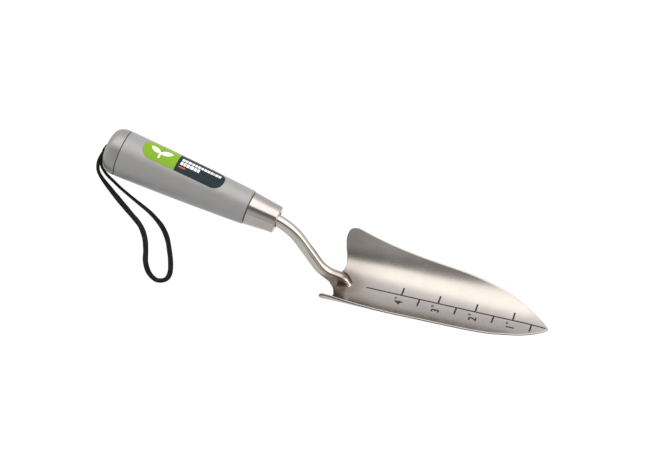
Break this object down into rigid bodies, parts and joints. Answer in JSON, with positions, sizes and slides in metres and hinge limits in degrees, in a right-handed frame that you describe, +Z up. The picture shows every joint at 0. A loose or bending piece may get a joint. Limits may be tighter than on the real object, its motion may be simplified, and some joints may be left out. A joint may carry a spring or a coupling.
{
  "type": "hand trowel",
  "caption": "Hand trowel for transplanting: narrow dished steel blade with a depth scale, cranked rod neck, tapered ferrule and grip, domed end cap and leather lanyard.",
  "frame": {"origin": "centre of the tool's footprint (without its lanyard), on the bench it lies on", "axes": "+X towards the blade's tip, +Z up, mid-plane at y = 0; the tool lies on the blade's heel and the butt of the handle"},
  "size_m": [0.3154, 0.1054, 0.0585],
  "materials": {
    "blade_steel": "satin, brushed lengthwise",
    "neck_steel": "polished rod",
    "weld_steel": "dressed weld, satin",
    "ferrule_steel": "polished",
    "pin_steel": "plain",
    "grip_coat": "satin silver-grey",
    "cap_coat": "satin silver-grey",
    "label_film": "printed film, green and navy",
    "lace_leather": "flat black lace"
  },
  "bodies": {
    "root": {"blade": "blade_steel", "neck_rod": "neck_steel", "neck_weld": "weld_steel", "ferrule": "ferrule_steel", "tang_pin": "pin_steel", "grip_body": "grip_coat", "end_cap": "cap_coat", "handle_label": "label_film", "lanyard": "lace_leather", "lanyard_knot": "lace_leather"}
  },
  "joints": []
}
